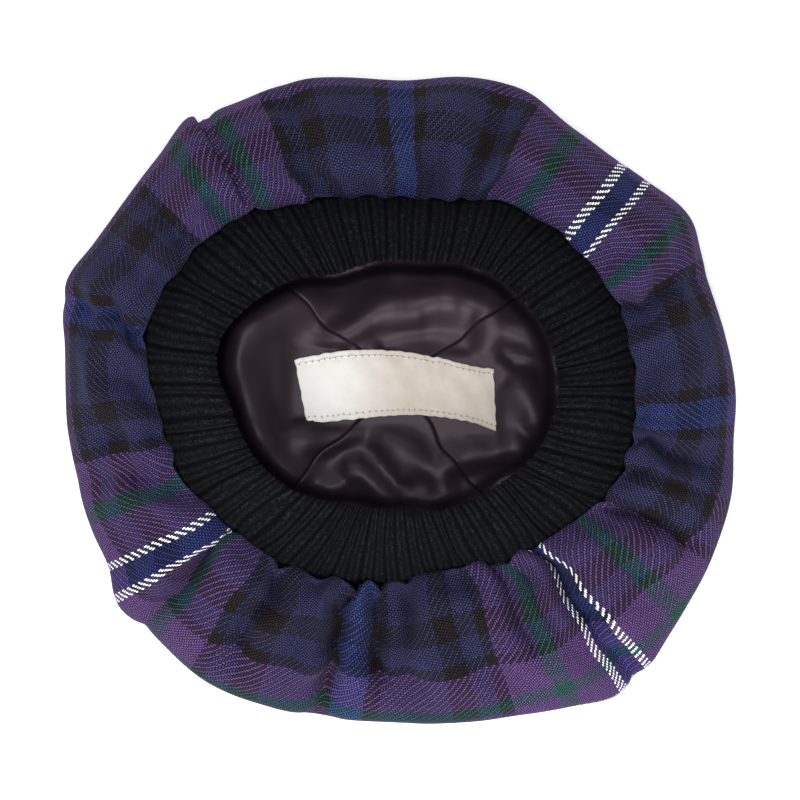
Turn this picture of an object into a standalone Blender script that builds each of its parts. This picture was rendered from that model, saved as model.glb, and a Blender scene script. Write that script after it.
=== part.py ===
"""Tam o' shanter, lying on its crown with the opening up.

A flat round crown, a straight strip of tartan gathered on to a doubled rib-knit band, a lining of
four satin quarters and a woven label. Metres, +Z up. The hat rests on the plane z = 0 and its
outline is centred on the origin. Angles are in degrees, counted from +X towards +Y.
"""

import math

import bmesh
import bpy
import numpy as np

# The tartan strip: its widest line, its top between folds, and its lower seam
RIM_RADIUS = 0.141
RIM_HEIGHT = 0.021
PUFF_HEIGHT = 0.048
CLOTH_WALL = 0.0016
STRIP_COLUMNS = 108

# The crown, which has slumped a little towards the front right
CROWN_RADIUS = 0.120
CROWN_SLUMP_X = 0.008
CROWN_SLUMP_Y = -0.008
CROWN_SEAM_HEIGHT = 0.007
CROWN_EDGE_BEND = 0.016
CROWN_COLUMNS = 54

# The rib-knit band, from its seam with the strip up to its free edge
BAND_SEAM_RADIUS = 0.090
BAND_SEAM_HEIGHT = 0.041
BAND_TUCK = 0.004
BAND_THICKNESS = 0.0045
MOUTH_RADIUS = 0.059
MOUTH_HEIGHT = 0.073
BAND_SWELL = 0.0025
RIB_COUNT = 168
RIB_RELIEF = 0.0009

# The lining, which hangs from the band's foot
LINING_WALL = 0.001
LINING_FLOOR_HEIGHT = 0.012
LINING_TIP_X = -0.001
LINING_TIP_Y = 0.009
LINING_COLUMNS = 48

# The woven label
LABEL_LENGTH = 0.084
LABEL_WIDTH = 0.025
LABEL_WALL = 0.0008
LABEL_ARCH = 0.002
LABEL_CENTRE_X = 0.0
LABEL_CENTRE_Y = 0.001
LABEL_TURN = -3.4
LABEL_COLUMNS = 14
LABEL_ROWS = 4

# Pieces that are sewn together keep this gap
SEAM_GAP = 0.0003

# Outline of the strip from above. Columns: angle, rim as a share of RIM_RADIUS
RIM_OUTLINE = (
    (0, 1.000), (12, 0.990), (30, 1.021), (42, 0.982), (56, 0.956), (69, 0.996), (90, 0.954),
    (108, 0.998), (120, 1.015), (127, 1.048), (144, 1.015), (160, 1.046), (170, 1.010), (186, 0.988),
    (204, 0.998), (216, 1.030), (223, 1.014), (234, 1.016), (246, 0.998), (262, 0.959), (276, 0.964),
    (290, 1.000), (300, 1.049), (306, 1.094), (318, 1.070), (330, 1.042), (344, 1.033), (354, 1.003),
)

# The band from above. Columns: angle, seam as a share of BAND_SEAM_RADIUS,
# free edge as a share of MOUTH_RADIUS
BAND_OUTLINE = (
    (0, 1.084, 1.076), (20, 1.093, 1.096), (40, 1.075, 1.076), (60, 1.033, 1.041), (80, 0.936, 0.958),
    (100, 0.955, 0.958), (120, 1.033, 0.985), (130, 1.116, 1.090), (140, 1.153, 1.166),
    (150, 1.185, 1.235), (160, 1.208, 1.298), (170, 1.185, 1.277), (180, 1.121, 1.180),
    (200, 1.061, 1.076), (220, 0.969, 0.958), (240, 0.909, 0.812), (260, 0.850, 0.749),
    (275, 0.825, 0.745), (290, 0.815, 0.798), (300, 0.876, 0.820), (320, 0.950, 0.888),
    (340, 1.061, 1.006),
)

# Section of the strip above the rim. Columns: reach from band seam (0) to rim (1),
# rise from rim height (0) to puff height (1), share of a fold's depth
STRIP_UPPER = (
    (0.00, 0.74, 0.25), (0.09, 0.92, 0.80), (0.24, 1.00, 1.00), (0.46, 0.93, 1.00),
    (0.68, 0.76, 0.85), (0.86, 0.48, 0.70), (0.97, 0.18, 0.60),
)

# Section of the strip below its widest line. Columns: reach from crown seam (0) to rim (1),
# rise from seam height (0) to rim height (1), share of a fold's depth
STRIP_LOWER = (
    (1.00, 0.92, 0.55), (0.94, 0.50, 0.40), (0.62, 0.16, 0.15), (0.00, 0.00, 0.00),
)

# Main folds of the strip. Columns: angle at the band, angle at the rim,
# depth as a share of the puff's rise, half width in degrees, length as a share of the way to the rim
STRIP_FOLDS = (
    (24, 26, 0.16, 5.0, 0.80), (58, 56, 0.18, 6.0, 0.90), (77, 74, 0.26, 5.0, 0.70),
    (118, 112, 0.32, 5.0, 0.90), (129, 124, 0.22, 4.0, 1.40), (168, 164, 0.28, 6.0, 1.10),
    (197, 197, 0.24, 5.0, 1.00), (239, 243, 0.20, 4.5, 0.45), (257, 254, 0.36, 6.0, 0.95),
    (272, 270, 0.16, 4.5, 0.50), (297, 299, 0.16, 4.0, 0.35), (312, 311, 0.34, 4.5, 1.30),
    (338, 336, 0.20, 5.0, 1.00), (348, 345, 0.12, 4.0, 0.60),
)

# Section of the lining. Columns: reach from the tip (0) to the band's foot (1),
# rise from floor height (0) to the band's foot (1), share of a fold's height
LINING_SECTION = (
    (0.00, 0.00, 0.00), (0.34, 0.00, 0.00), (0.58, 0.00, 0.00), (0.80, 0.05, 1.00),
    (0.98, 0.22, 1.00), (1.06, 0.50, 0.60), (1.04, 0.80, 0.20), (1.00, 1.00, 0.00),
)

# Soft ridges in the lining. Columns: angle, height as a share of the lining's depth,
# half width in degrees
LINING_FOLDS = (
    (20, 0.12, 9), (70, 0.12, 11), (104, 0.18, 9), (152, 0.28, 13), (188, 0.14, 9),
    (236, 0.16, 11), (262, 0.12, 8), (292, 0.14, 9), (338, 0.14, 12),
)

# Quarter panels of the lining. Columns: name, first seam, second seam, both as angles
LINING_PANELS = (
    ("lining_panel_right", -45, 45), ("lining_panel_back", 45, 135),
    ("lining_panel_left", 135, 225), ("lining_panel_front", 225, 315),
)


def around(table, column, angles):
    """Column of an outline table at these angles: a cubic through the rows, closed on itself, whose
    slope at each row is that of the line between the rows on either side."""
    rows = np.array(table, float)
    knots = np.concatenate([rows[-2:, 0] - 360.0, rows[:, 0], rows[:2, 0] + 360.0])
    values = np.concatenate([rows[-2:, column], rows[:, column], rows[:2, column]])
    slopes = np.gradient(values, knots)
    angles = np.mod(angles, 360.0)
    left = np.searchsorted(knots, angles, side="right") - 1
    span = knots[left + 1] - knots[left]
    t = (angles - knots[left]) / span
    rise = values[left] * (1 + 2 * t) * (1 - t) ** 2 + values[left + 1] * t * t * (3 - 2 * t)
    return rise + span * (slopes[left] * t * (1 - t) ** 2 - slopes[left + 1] * t * t * (1 - t))


def smooth_step(value):
    """0 below 0, 1 above 1, and a smooth rise between."""
    value = np.clip(value, 0.0, 1.0)
    return value * value * (3.0 - 2.0 * value)


def bell(angles, centre, half_width):
    """A bell of height 1 round an angle, measured the short way round."""
    away = np.mod(angles - centre + 180.0, 360.0) - 180.0
    return np.exp(-(away / half_width) ** 2)


def polar_points(radius, height, angles):
    """Points from radius, height and angle arrays of one shape."""
    turn = np.radians(angles)
    return np.stack([radius * np.cos(turn), radius * np.sin(turn), height + 0 * turn], axis=-1)


def ring_angles(count):
    """Evenly spaced angles, once round, as a column."""
    return np.arange(count)[:, None] * 360.0 / count


def seam_radius(angles):
    """Radius of the seam between strip and band."""
    return BAND_SEAM_RADIUS * around(BAND_OUTLINE, 1, angles)


def crown_radius(angles):
    """Radius of the seam between strip and crown: a circle, moved by the slump."""
    turn = np.radians(angles)
    return CROWN_RADIUS + CROWN_SLUMP_X * np.cos(turn) + CROWN_SLUMP_Y * np.sin(turn)


def ring_normals(points):
    """Unit normals of a surface grid that closes on itself along its columns. They point up where
    its stations run outwards."""
    along = np.roll(points, -1, axis=0) - np.roll(points, 1, axis=0)
    across = np.gradient(points, axis=1)
    normals = np.cross(across, along)
    length = np.linalg.norm(normals, axis=-1, keepdims=True)
    return normals / np.maximum(length, 1e-12)


def strip_face():
    """Outer face of the strip: at each angle the section runs from the band seam over the puff and
    the rim to the crown seam, then each fold pushes it in along its normal."""
    angles = ring_angles(STRIP_COLUMNS)
    rim = RIM_RADIUS * around(RIM_OUTLINE, 1, angles)
    upper = np.array(STRIP_UPPER)
    lower = np.array(STRIP_LOWER)
    seam = seam_radius(angles) + SEAM_GAP
    crown = crown_radius(angles)
    radius = np.concatenate([
        seam + (rim - seam) * upper[None, :, 0],
        crown + (rim - crown) * lower[None, :, 0],
    ], axis=1)
    height = np.concatenate([
        RIM_HEIGHT + (PUFF_HEIGHT - RIM_HEIGHT) * upper[:, 1],
        CROWN_SEAM_HEIGHT + (RIM_HEIGHT - CROWN_SEAM_HEIGHT) * lower[:, 1],
    ])
    reach = np.concatenate([upper[:, 0], 2.0 - lower[:, 0]])
    share = np.concatenate([upper[:, 2], lower[:, 2]])
    points = polar_points(radius, height[None, :], angles + 0 * radius)
    depth = np.zeros_like(radius)
    for at_band, at_rim, fold_depth, half_width, length in STRIP_FOLDS:
        centre = at_band + (at_rim - at_band) * np.minimum(reach, 1.0)
        fade = smooth_step((length + 0.3 - reach) / 0.3)
        depth += fold_depth * bell(angles, centre[None, :], half_width) * (fade * share)[None, :]
    depth *= PUFF_HEIGHT - RIM_HEIGHT
    return points - ring_normals(points) * depth[..., None]


def band_section(angles):
    """Both faces of the band: a foot tucked below the seam, a face that rises, swells a little and
    leans in to the free edge, and the inner face one thickness behind it. Returns an array of
    columns by stations, outer foot first, and the share of the ribs' relief at each station."""
    seam = seam_radius(angles)
    mouth = MOUTH_RADIUS * around(BAND_OUTLINE, 2, angles)
    lean_r = seam - mouth - BAND_THICKNESS
    lean_z = MOUTH_HEIGHT - BAND_SEAM_HEIGHT
    slant = np.hypot(lean_r, lean_z)
    out_r = lean_z / slant
    out_z = lean_r / slant
    top = mouth + BAND_THICKNESS * out_r
    middle = 0.5 * (seam + top)
    radius = np.concatenate([
        seam, seam, middle + BAND_SWELL * out_r, top, mouth, seam - BAND_THICKNESS,
    ], axis=1)
    foot = BAND_SEAM_HEIGHT - BAND_TUCK
    level = 0 * seam
    height = np.concatenate([
        level + foot, level + BAND_SEAM_HEIGHT,
        0.5 * (BAND_SEAM_HEIGHT + MOUTH_HEIGHT) + BAND_SWELL * out_z,
        level + MOUTH_HEIGHT, MOUTH_HEIGHT - BAND_THICKNESS * out_z, level + foot,
    ], axis=1)
    relief = np.array([0.0, 0.0, 1.0, 0.8, 0.4, 0.0])
    return polar_points(radius, height, angles + 0 * radius), relief


def lining_faces():
    """Lower and upper face of the lining: rays from the tip to the band's foot, which run level,
    swell out under the band and rise to its foot, with soft ridges outside the label."""
    angles = ring_angles(LINING_COLUMNS) - 45.0
    section = np.array(LINING_SECTION)
    foot = polar_points(seam_radius(angles) - 0.5 * (BAND_THICKNESS - LINING_WALL), 0.0, angles)
    tip = np.array([LINING_TIP_X, LINING_TIP_Y, 0.0])
    points = tip + (foot - tip) * section[None, :, :1]
    depth = BAND_SEAM_HEIGHT - BAND_TUCK - SEAM_GAP - LINING_FLOOR_HEIGHT
    ridges = sum(height * bell(angles, at, width) for at, height, width in LINING_FOLDS)
    points[..., 2] = LINING_FLOOR_HEIGHT + depth * (section[None, :, 1] + ridges * section[None, :, 2])
    normals = ring_normals(points)
    normals[:, 0] = (0.0, 0.0, 1.0)
    normals[:, -1] = -foot[:, 0] / np.linalg.norm(foot[:, 0], axis=-1, keepdims=True)
    return points, points + normals * LINING_WALL


def principled(name, colour, roughness, metallic=0.0):
    """A Principled material of one colour."""
    material = bpy.data.materials.new(name)
    material.use_nodes = True
    shader = material.node_tree.nodes["Principled BSDF"]
    shader.inputs["Base Color"].default_value = (*colour, 1.0)
    shader.inputs["Roughness"].default_value = roughness
    shader.inputs["Metallic"].default_value = metallic
    return material


def add_wall(name, loop, closed, material, parent):
    """One closed solid from a grid of columns by stations, where each column's stations go right
    round the wall's section. Closed joins the last column to the first; otherwise both ends are
    capped by strips across the wall."""
    columns, stations = loop.shape[:2]
    index = np.arange(columns * stations).reshape(columns, stations)
    last = columns if closed else columns - 1
    faces = []
    for column in range(last):
        after = (column + 1) % columns
        for station in range(stations):
            up = (station + 1) % stations
            faces.append((index[column, station], index[after, station],
                          index[after, up], index[column, up]))
    if not closed:
        half = stations // 2
        for column in (0, columns - 1):
            for station in range(half - 1):
                mirror = stations - 1 - station
                faces.append((index[column, station], index[column, station + 1],
                              index[column, mirror - 1], index[column, mirror]))
    mesh = bpy.data.meshes.new(name)
    mesh.from_pydata(loop.reshape(-1, 3).tolist(), [], [tuple(map(int, face)) for face in faces])
    body = bmesh.new()
    body.from_mesh(mesh)
    bmesh.ops.remove_doubles(body, verts=body.verts, dist=1e-6)
    bmesh.ops.triangulate(body, faces=body.faces)
    bmesh.ops.recalc_face_normals(body, faces=body.faces)
    body.to_mesh(mesh)
    body.free()
    mesh.shade_smooth()
    mesh.set_sharp_from_angle(angle=math.radians(30))
    mesh.materials.append(material)
    thing = bpy.data.objects.new(name, mesh)
    bpy.context.collection.objects.link(thing)
    thing.parent = parent
    return thing


def add_side_strip(outer, parent):
    """The gathered strip: its outer face and the same face one wall further in, straight up from
    the outer one along the crown seam."""
    normals = ring_normals(outer)
    normals[:, -1] = (0.0, 0.0, -1.0)
    inner = outer - normals * CLOTH_WALL
    wool = principled("tartan_wool", (0.055, 0.045, 0.12), 0.9)
    return add_wall("side_strip", np.concatenate([outer, inner[:, ::-1]], axis=1), True, wool, parent)


def add_crown_disc(parent):
    """The crown: level across the middle, its edge bent up to the seam with the strip."""
    angles = ring_angles(CROWN_COLUMNS)
    edge = crown_radius(angles) - SEAM_GAP
    level = edge - CROWN_EDGE_BEND
    lift = CROWN_SEAM_HEIGHT
    zero = 0 * edge
    radius = np.concatenate([zero, level, edge, edge, level, zero], axis=1)
    height = np.array([0.0, 0.0, lift, lift + CLOTH_WALL, CLOTH_WALL, CLOTH_WALL])
    wool = principled("plain_wool", (0.05, 0.045, 0.11), 0.9)
    return add_wall("crown_disc", polar_points(radius, height[None, :], angles + 0 * radius),
                    True, wool, parent)


def add_rib_band(parent):
    """The knitted band: every other column stands out as a rib."""
    angles = ring_angles(2 * RIB_COUNT)
    points, relief = band_section(angles)
    side = np.where(np.arange(2 * RIB_COUNT) % 2 == 0, 0.5, -0.5)
    out = ring_normals(points)
    points = points + out * (side[:, None] * relief[None, :] * RIB_RELIEF)[..., None]
    knit = principled("rib_knit", (0.012, 0.012, 0.014), 0.95)
    return add_wall("rib_band", points, True, knit, parent)


def add_lining(parent):
    """Four quarters of satin, each moved out from the tip by half a seam gap."""
    lower, upper = lining_faces()
    satin = principled("lining_satin", (0.035, 0.026, 0.028), 0.35)
    per_degree = LINING_COLUMNS / 360.0
    for name, first, second in LINING_PANELS:
        picked = np.arange(round((first + 45) * per_degree), round((second + 45) * per_degree) + 1)
        picked %= LINING_COLUMNS
        middle = math.radians(0.5 * (first + second))
        half = math.radians(0.5 * (second - first))
        away = 0.5 * SEAM_GAP / math.sin(half)
        shift = np.array([away * math.cos(middle), away * math.sin(middle), 0.0])
        loop = np.concatenate([lower[picked], upper[picked][:, ::-1]], axis=1) + shift
        add_wall(name, loop, False, satin, parent)


def add_label(parent):
    """The label: a tape that arches a little along its upper edge and lies on the lining."""
    along = np.linspace(-0.5, 0.5, LABEL_COLUMNS + 1)[:, None]
    across = np.linspace(-0.5, 0.5, LABEL_ROWS + 1)[None, :]
    x = along * LABEL_LENGTH + 0 * across
    y = across * LABEL_WIDTH + 0 * along
    turn = math.radians(LABEL_TURN)
    arch = LABEL_ARCH * np.cos(math.pi * along) ** 2 * (0.5 + across)
    under = np.stack([
        LABEL_CENTRE_X + x * math.cos(turn) - y * math.sin(turn),
        LABEL_CENTRE_Y + x * math.sin(turn) + y * math.cos(turn),
        LINING_FLOOR_HEIGHT + LINING_WALL + SEAM_GAP + arch,
    ], axis=-1)
    over = under + np.array([0.0, 0.0, LABEL_WALL])
    tape = principled("label_tape", (0.72, 0.69, 0.64), 0.7)
    return add_wall("label", np.concatenate([under, over[:, ::-1]], axis=1), False, tape, parent)


for old in list(bpy.data.objects):
    bpy.data.objects.remove(old, do_unlink=True)

strip = strip_face()
low = strip.reshape(-1, 3).min(axis=0)
high = strip.reshape(-1, 3).max(axis=0)
hat = bpy.data.objects.new("tam_o_shanter", None)
bpy.context.collection.objects.link(hat)
hat.location = (-0.5 * (low[0] + high[0]), -0.5 * (low[1] + high[1]), 0.0)

add_side_strip(strip, hat)
add_crown_disc(hat)
add_rib_band(hat)
add_lining(hat)
add_label(hat)
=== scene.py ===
"""Looks of the tam o' shanter: tartan strip, crown, rib-knit band, satin lining and woven label."""
import math

import bmesh
import bpy
import numpy as np
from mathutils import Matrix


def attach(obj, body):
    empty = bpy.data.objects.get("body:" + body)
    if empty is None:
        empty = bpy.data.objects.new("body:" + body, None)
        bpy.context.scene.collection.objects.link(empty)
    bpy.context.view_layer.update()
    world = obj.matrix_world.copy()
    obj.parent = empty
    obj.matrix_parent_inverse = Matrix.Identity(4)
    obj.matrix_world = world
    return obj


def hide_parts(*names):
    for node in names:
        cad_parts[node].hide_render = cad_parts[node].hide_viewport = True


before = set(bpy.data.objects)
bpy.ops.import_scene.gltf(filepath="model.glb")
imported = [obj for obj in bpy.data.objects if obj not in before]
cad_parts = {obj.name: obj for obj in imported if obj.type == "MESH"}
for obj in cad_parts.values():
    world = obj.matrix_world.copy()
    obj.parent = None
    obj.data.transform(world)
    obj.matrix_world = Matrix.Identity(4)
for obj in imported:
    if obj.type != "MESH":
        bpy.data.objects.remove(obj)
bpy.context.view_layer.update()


# Camera, light and floor
# A white product table seen from straight above, under a broad soft light from all round with a
# little more of it from the front of the hat, as the photograph has.

CAMERA_HEIGHT = 2.02
FRAME_WIDTH = 0.336
FRAME_LEVEL = 0.022
SENSOR_WIDTH = 36.0
HAT_MIDDLE = 0.03
FLOOR_REACH = 3.0

camera_data = bpy.data.cameras.new("camera")
camera_data.sensor_width = SENSOR_WIDTH
camera_data.lens = SENSOR_WIDTH * (CAMERA_HEIGHT - FRAME_LEVEL) / FRAME_WIDTH
camera = bpy.data.objects.new("camera", camera_data)
camera.location = (0.0, 0.0, CAMERA_HEIGHT)
bpy.context.collection.objects.link(camera)
bpy.context.scene.camera = camera


def linear(hex_colour):
    """An sRGB hex colour as linear red, green, blue and an alpha of 1."""
    parts = [int(hex_colour[at:at + 2], 16) / 255.0 for at in (1, 3, 5)]
    return (*[part / 12.92 if part <= 0.04045 else ((part + 0.055) / 1.055) ** 2.4 for part in parts], 1.0)


def fill_inputs(tree, node, inputs):
    """Sets each of a node's inputs to a value, or links it to a socket."""
    for name, value in inputs.items():
        if isinstance(value, bpy.types.NodeSocket):
            tree.links.new(value, node.inputs[name])
        else:
            node.inputs[name].default_value = value


def add_node(tree, kind, inputs=None, **settings):
    """Adds a node with its settings and its inputs."""
    made = tree.nodes.new(kind)
    for name, value in settings.items():
        setattr(made, name, value)
    fill_inputs(tree, made, inputs or {})
    return made


def new_material(name):
    """A new material, its node tree, and the shader that the tree starts with."""
    material = bpy.data.materials.new(name)
    material.use_nodes = True
    return material, material.node_tree, material.node_tree.nodes["Principled BSDF"]


def add_lamp(name, place, size, power):
    """A square soft box that faces the middle of the hat."""
    data = bpy.data.lights.new(name, "AREA")
    data.size = size
    data.energy = power
    lamp = bpy.data.objects.new(name, data)
    lamp.location = place
    aim = np.array([0.0, 0.0, HAT_MIDDLE]) - np.array(place)
    turn = math.atan2(aim[1], aim[0])
    lamp.rotation_euler = (0.0, math.acos(-aim[2] / np.linalg.norm(aim)), turn + math.pi)
    bpy.context.collection.objects.link(lamp)


add_lamp("soft_box_back", (-0.30, 1.15, 1.25), 1.1, 5.0)
add_lamp("soft_box_front", (-0.05, -1.10, 1.25), 1.0, 24.0)
add_lamp("soft_box_above", (-0.1, 0.0, 1.9), 0.7, 13.0)

world = bpy.data.worlds.new("white_studio")
world.use_nodes = True
fill_inputs(world.node_tree, world.node_tree.nodes["Background"], {
    "Color": linear("#f7f8fb"), "Strength": 0.56})
bpy.context.scene.world = world
bpy.context.scene.view_settings.view_transform = "Standard"

floor_mesh = bpy.data.meshes.new("floor")
floor_corners = [(x * FLOOR_REACH, y * FLOOR_REACH, 0) for x, y in ((-1, -1), (1, -1), (1, 1), (-1, 1))]
floor_mesh.from_pydata(floor_corners, [], [(0, 1, 2, 3)])
floor = bpy.data.objects.new("floor", floor_mesh)
bpy.context.collection.objects.link(floor)
white_card, card_tree, card_shader = new_material("white_card")
fill_inputs(card_tree, card_shader, {
    "Base Color": linear("#fbfbfb"), "Roughness": 0.9, "Emission Color": linear("#ffffff"),
    "Emission Strength": 0.32})
floor_mesh.materials.append(white_card)


# Side strip
# One straight strip of worsted tartan, 850 by 90 mm, gathered on to the band, joined end to end at
# the upper left and rolled over a soft rim down to the crown. The stripes run straight out from the
# band, because the strip is straight.

RIM_RADIUS = 0.141
RIM_HEIGHT = 0.021
PUFF_HEIGHT = 0.048
CROWN_RADIUS = 0.120
CROWN_SLUMP = (0.008, -0.008)
CROWN_SEAM_HEIGHT = 0.007
BAND_SEAM_RADIUS = 0.090
BAND_SEAM_HEIGHT = 0.041
MOUTH_RADIUS = 0.059
MOUTH_HEIGHT = 0.073
SEAM_GAP = 0.0003
STRIP_WALL = 0.0012
STRIP_WIDTH = 90.0
STRIP_COLUMNS = 756
STRIP_STATIONS = 96
SETTLE_COLUMNS = 168
SETTLE_STATIONS = 26
SETTLE_ROUNDS = 400
BENDING = 0.8
DIAGONAL_STIFFNESS = 0.25
KEPT_MOTION = 0.90
ACROSS_EASE = 1.01
HOLD_LOOSE = 0.018
HOLD_AT_RIM = 0.25
HOLD_UNDER_RIM = 0.3
PADDING_PUSH = 0.00002
BAND_LIFT = 0.0042
SMOOTHING_PASSES = 3
STRIPE_EASE = 84
SECTION_POINTS = 400
JOIN_DEPTH = 0.0032
JOIN_WIDTH = 1.3
JOIN_LAP = 0.0016
JOIN_LAP_WIDTH = 9.0
THREAD = 0.78
SOFTNESS = 0.40

# Outline from above. Columns: angle, rim as a share of its radius
RIM_OUTLINE = (
    (0, 1.002), (12, 0.988), (20, 0.984), (26, 1.001), (31, 1.022), (42, 0.984), (56, 0.958),
    (69, 0.998), (90, 0.954), (108, 1.003), (120, 1.016), (127, 1.048), (135, 1.023), (144, 1.014),
    (153, 1.026), (162, 1.064), (170, 1.017), (186, 0.995), (196, 0.994), (204, 0.999), (210, 1.003),
    (216, 1.040), (223, 1.018), (236, 1.021), (246, 0.997), (258, 0.975), (266, 0.962), (276, 0.971),
    (290, 1.004), (300, 1.051), (306, 1.096), (312, 1.094), (318, 1.069), (333, 1.043), (344, 1.028),
    (354, 1.001),
)

# The band from above. Columns: angle, seam and free edge as shares of their radii
BAND_OUTLINE = (
    (0, 1.084, 1.076), (20, 1.093, 1.096), (40, 1.075, 1.076), (60, 1.033, 1.041), (80, 0.936, 0.958),
    (100, 0.955, 0.958), (120, 1.033, 0.985), (130, 1.116, 1.090), (140, 1.153, 1.166),
    (150, 1.185, 1.235), (160, 1.208, 1.298), (170, 1.185, 1.277), (180, 1.121, 1.180),
    (200, 1.061, 1.076), (220, 0.969, 0.958), (240, 0.909, 0.812), (260, 0.850, 0.749),
    (275, 0.825, 0.745), (290, 0.815, 0.798), (300, 0.876, 0.820), (320, 0.950, 0.888),
    (340, 1.061, 1.006),
)

# Section of the strip. Columns: reach from the band seam (0) over the rim (1) to the crown seam (2),
# rise as a share of the puff above the rim, or of the rim above the crown seam, and the share of a
# fold's depth
STRIP_SECTION = (
    (0.00, 0.74, 0.25), (-0.03, 0.84, 0.50), (0.02, 0.93, 0.80), (0.12, 0.99, 1.00),
    (0.24, 1.00, 1.00), (0.46, 0.93, 1.00), (0.68, 0.76, 0.85), (0.86, 0.48, 0.70),
    (0.97, 0.18, 0.60), (1.00, -0.05, 0.55), (1.04, -0.35, 0.45), (1.20, -0.68, 0.30),
    (1.45, -0.88, 0.12), (2.00, -1.00, 0.00),
)

# Where the stripes run. Columns: millimetres along the strip, angle at the band, angle at the rim
STRIPES = (
    (342.0, 128.5, 125.6), (354.0, 133.5, 130.5), (361.9, 136.0, 133.5), (378.1, 141.5, 140.0),
    (391.2, 147.5, 146.0), (400.7, 151.5, 150.0), (428.2, 162.0, 161.0), (439.6, 167.0, 165.0),
    (451.0, 170.0, 169.0), (478.5, 181.0, 181.0), (488.0, 185.0, 185.5), (501.1, 190.5, 191.5),
    (517.3, 198.0, 199.0), (525.2, 202.0, 202.5), (541.7, 211.0, 209.5), (549.5, 215.0, 213.0),
    (557.3, 218.5, 216.5), (573.8, 219.8, 221.5), (581.7, 221.5, 225.0), (597.9, 228.0, 233.0),
    (620.5, 242.0, 245.0), (648.0, 255.0, 254.5), (659.4, 261.5, 261.0), (670.8, 267.0, 267.0),
    (698.3, 280.0, 280.0), (720.9, 291.0, 290.5), (737.1, 301.0, 298.5), (745.0, 304.0, 301.5),
    (761.5, 310.0, 307.0), (769.3, 312.5, 311.0), (777.1, 315.5, 314.5), (793.6, 326.0, 322.0),
    (801.5, 330.0, 325.0), (817.7, 336.0, 333.0), (840.3, 345.0, 344.0), (867.8, 353.0, 354.0),
    (879.2, 356.0, 359.0), (890.6, 360.5, 363.8), (918.1, 374.0, 376.0), (940.7, 384.5, 386.0),
    (956.9, 387.0, 391.5), (964.8, 391.0, 394.5), (981.3, 397.5, 401.5), (989.1, 401.5, 404.5),
    (996.9, 406.0, 408.0), (1013.4, 416.0, 416.0), (1021.3, 420.5, 419.5), (1037.5, 427.5, 425.0),
    (1060.1, 434.5, 434.0), (1087.6, 445.0, 446.0), (1099.0, 449.0, 450.5), (1110.4, 454.5, 455.5),
    (1137.9, 465.0, 466.0), (1160.5, 476.5, 475.5), (1176.7, 484.0, 481.0), (1188.0, 488.5, 485.6),
)

# Cloth between band seam and rim, which grows where the hat has slumped. Columns: angle, millimetres
RIM_CLOTH = (
    (0, 51), (40, 50), (90, 50), (130, 50), (180, 50), (205, 54), (225, 62), (240, 68), (255, 70),
    (272, 69), (285, 72), (297, 80), (307, 86), (316, 76), (325, 67), (337, 58), (350, 52),
)

# Folds. Columns: angle at the band, angle at the rim, depth as a share of the puff, half width in
# degrees, length as a share of the way to the rim, crease (0 soft, 1 sharp)
STRIP_FOLDS = (
    (8, 9, 0.08, 3.0, 0.45, 0.3), (23, 22, 0.26, 3.0, 0.75, 0.6), (33, 33, 0.06, 3.0, 0.35, 0.5),
    (46, 44, 0.06, 3.0, 0.50, 0.4), (64, 63, 0.12, 4.0, 0.60, 0.3), (73, 71, 0.34, 4.0, 0.70, 0.5),
    (81, 81, 0.10, 2.5, 0.40, 0.5), (97, 96, 0.07, 3.0, 0.40, 0.3), (113, 110, 0.34, 4.0, 0.75, 0.5),
    (127.5, 124, 0.22, 1.8, 1.20, 1.0), (134, 133, 0.10, 3.0, 0.50, 0.4), (144, 142, 0.14, 3.0, 0.7, 0.4),
    (154, 153, 0.08, 3.0, 0.45, 0.4), (166, 163.5, 0.34, 3.5, 0.85, 0.7), (176, 175, 0.12, 3.0, 0.50, 0.3),
    (188, 187, 0.15, 3.0, 0.60, 0.4), (196, 194, 0.24, 3.5, 0.75, 0.5), (206, 206, 0.07, 3.0, 0.4, 0.4),
    (219.6, 221.5, 0.28, 1.8, 0.80, 1.0), (234, 237, 0.48, 3.0, 0.62, 0.8), (246, 247, 0.14, 4.0, 0.6, 0.3),
    (257, 255.5, 0.82, 3.0, 0.80, 1.0), (264, 266, 0.70, 2.8, 0.56, 0.9), (272, 271, 0.34, 4.0, 0.70, 0.5),
    (285, 285, 0.12, 3.0, 0.40, 0.5), (298, 299, 0.26, 2.4, 0.40, 0.8), (303.5, 304, 0.24, 2.4, 0.35, 0.8),
    (311, 310.5, 0.40, 2.6, 0.85, 0.9), (325, 323, 0.08, 3.0, 0.50, 0.4), (334.5, 334, 0.46, 2.4, 0.62, 0.9),
    (343, 342, 0.26, 2.4, 0.60, 0.7), (349.5, 348, 0.28, 2.4, 0.65, 0.7), (356.5, 356, 0.12, 2.4, 0.4, 0.5),
)


def smooth_curve(knots, values, at):
    """The values between knots: a cubic from each knot to the next, whose slope at a knot is the
    gradient of the values on either side."""
    slopes = np.gradient(values, knots)
    left = np.clip(np.searchsorted(knots, at, side="right") - 1, 0, len(knots) - 2)
    span = knots[left + 1] - knots[left]
    t = (at - knots[left]) / span
    rise = values[left] * (1 + 2 * t) * (1 - t) ** 2 + values[left + 1] * t * t * (3 - 2 * t)
    return rise + span * (slopes[left] * t * (1 - t) ** 2 - slopes[left + 1] * t * t * (1 - t))


def around(table, column, angles):
    """A column of an outline table at these angles: a smooth curve that closes on itself."""
    rows = np.array(table, float)
    knots = np.concatenate([rows[-2:, 0] - 360.0, rows[:, 0], rows[:2, 0] + 360.0])
    values = np.concatenate([rows[-2:, column], rows[:, column], rows[:2, column]])
    return smooth_curve(knots, values, np.mod(angles, 360.0))


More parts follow.
